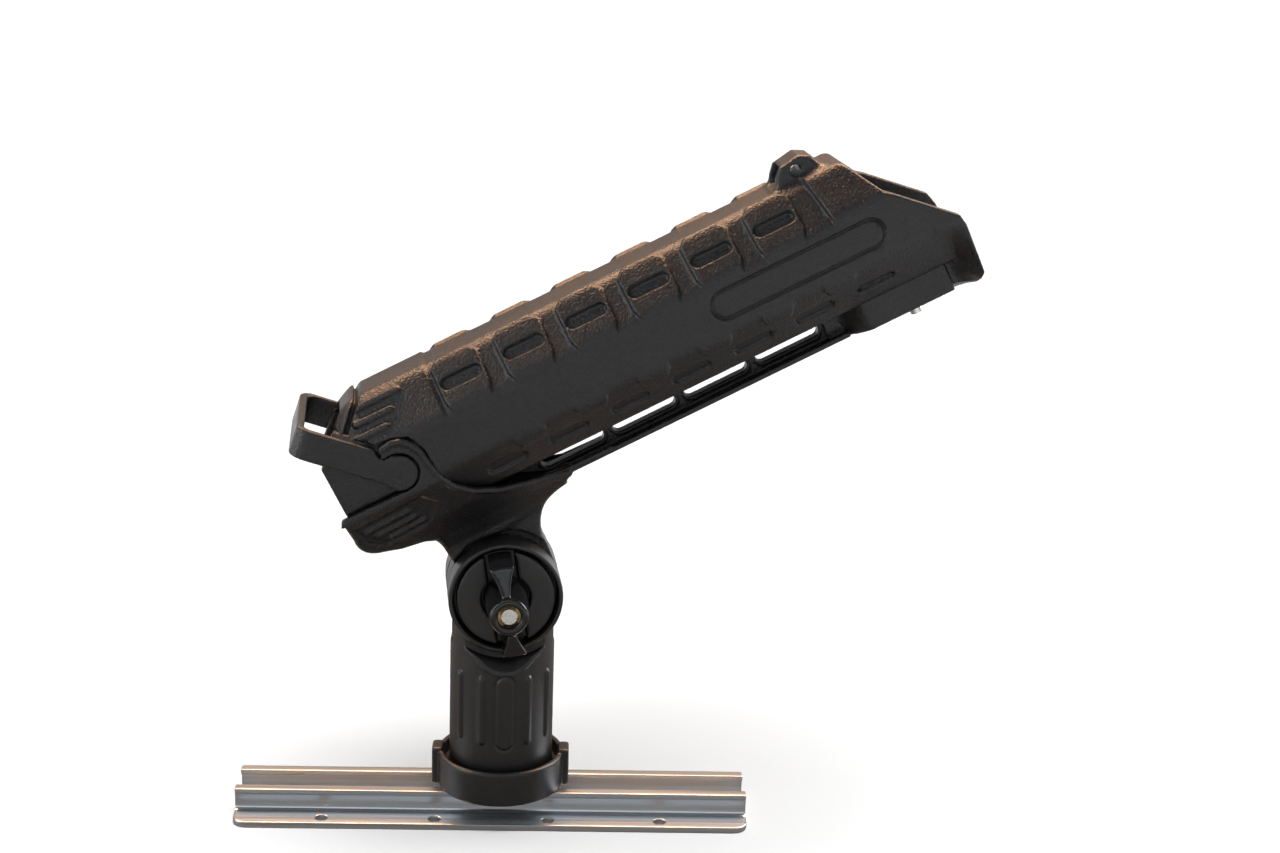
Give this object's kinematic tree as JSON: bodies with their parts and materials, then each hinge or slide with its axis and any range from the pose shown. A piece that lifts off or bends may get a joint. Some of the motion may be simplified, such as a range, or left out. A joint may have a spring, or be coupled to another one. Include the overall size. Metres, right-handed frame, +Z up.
{
  "type": "rod holder",
  "caption": "Rail-mounted fishing rod holder: open-fronted tube on a tilting fork with a wing knob, swivel post, locking collar, swinging bail and slotted rail.",
  "frame": {"origin": "centre of the rail's flat underside", "axes": "+X along the rail and the way the rod points, +Y to the side away from the knob, +Z up from the rail"},
  "size_m": [0.2839, 0.0783, 0.2665],
  "materials": {
    "anodised_rail": "satin clear anodised, drawn along its length",
    "steel": "plain stainless",
    "satin_nylon": "smooth satin moulded nylon",
    "filled_nylon": "glass-filled nylon with a fine speckled matte skin",
    "gloss_knob": "glossy moulded plastic",
    "washer_nylon": "plain matte",
    "bush_nylon": "natural bearing plastic",
    "brass": "turned brass"
  },
  "bodies": {
    "rail": {"track_rail": "anodised_rail"},
    "base": {"track_nuts": "steel", "base_screws": "steel", "base_foot": "satin_nylon", "base_washer": "washer_nylon"},
    "collar": {"locking_collar": "satin_nylon"},
    "post": {"swivel_post": "satin_nylon", "post_bush": "bush_nylon", "tilt_bolt": "steel", "thrust_washer": "steel"},
    "knob": {"knob_disc": "satin_nylon", "wing_knob": "gloss_knob", "brass_insert": "brass"},
    "holder": {"cradle": "filled_nylon", "pivot_sleeve": "brass", "friction_disc_front": "washer_nylon", "friction_disc_rear": "washer_nylon", "tube_top_shell": "filled_nylon", "tube_left_side": "filled_nylon", "tube_right_side": "filled_nylon", "tube_bottom_shell": "filled_nylon", "tube_front_lip": "filled_nylon", "strap_lug": "filled_nylon", "shell_screws": "steel", "bail_pins": "steel"},
    "bail": {"bail": "filled_nylon"}
  },
  "joints": [
    {"name": "base_slide", "type": "slide", "parent": "rail", "child": "base", "axis": [1, 0, 0], "range_m": [-0.078, 0.072]},
    {"name": "collar_lock", "type": "hinge", "parent": "base", "child": "collar", "pos_m": [0.003, 0, 0.0185], "axis": [0, 0, 1], "range_deg": [0, 50]},
    {"name": "swivel", "type": "hinge", "parent": "base", "child": "post", "pos_m": [0.003, 0, 0.04], "axis": [0, 0, 1], "continuous": true},
    {"name": "tilt", "type": "hinge", "parent": "post", "child": "holder", "pos_m": [0.003, 0, 0.0953], "axis": [0.0872, -0.9962, 0], "range_deg": [-45, 63]},
    {"name": "knob_turn", "type": "hinge", "parent": "post", "child": "knob", "pos_m": [0.00518, -0.0249, 0.0953], "axis": [0.0872, -0.9962, 0], "continuous": true},
    {"name": "bail_swing", "type": "hinge", "parent": "holder", "child": "bail", "pos_m": [-0.03773, -0.00356, 0.1491], "axis": [0.0872, -0.9962, 0], "range_deg": [0, 44.5]}
  ]
}
